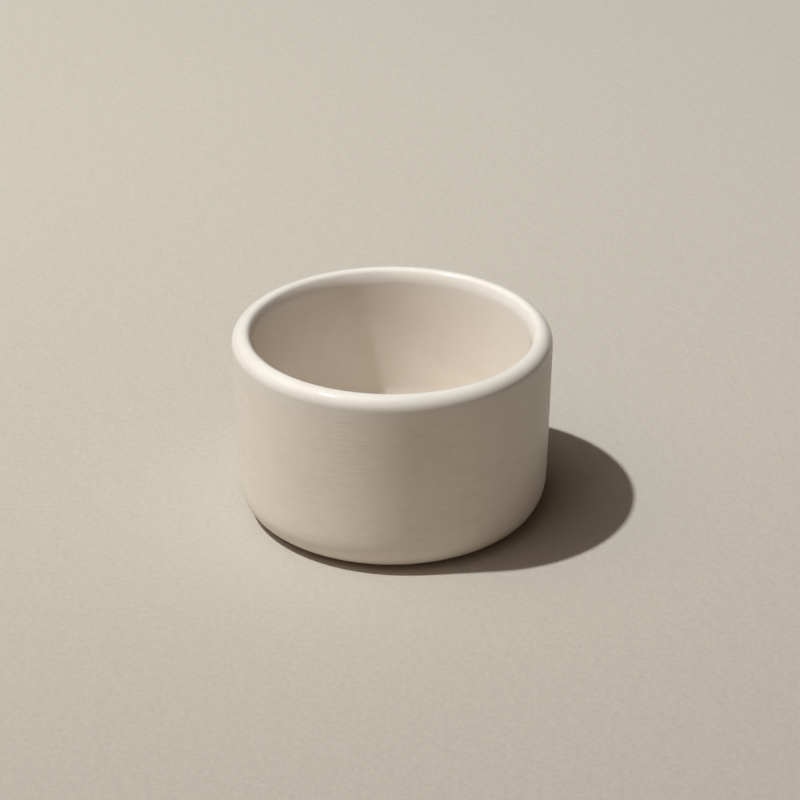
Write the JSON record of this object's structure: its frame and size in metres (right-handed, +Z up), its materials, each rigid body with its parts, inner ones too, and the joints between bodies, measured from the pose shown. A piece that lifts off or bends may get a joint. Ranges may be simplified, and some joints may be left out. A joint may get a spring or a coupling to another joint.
{
  "type": "shaving mug",
  "caption": "Handleless round stoneware cup for shaving lather: thick rounded rim, upright wall, rounded lower edge on a set-in foot ring, cream glaze, gloss inside and satin outside.",
  "frame": {"origin": "centre of the bowl at the level of the surface it stands on, the underside of the foot ring", "axes": "+Z up along the turning axis, towards the open rim; X and Y are free, because the bowl is round"},
  "size_m": [0.095, 0.095, 0.0575],
  "materials": {
    "bare_stoneware": "unglazed matte stoneware",
    "gloss_glaze": "gloss cream glaze with a few iron specks",
    "satin_glaze": "satin cream glaze with fine level streaks and a few iron specks"
  },
  "bodies": {
    "root": {"stoneware_body": "bare_stoneware", "inside_glaze": "gloss_glaze", "outside_glaze": "satin_glaze"}
  },
  "joints": []
}
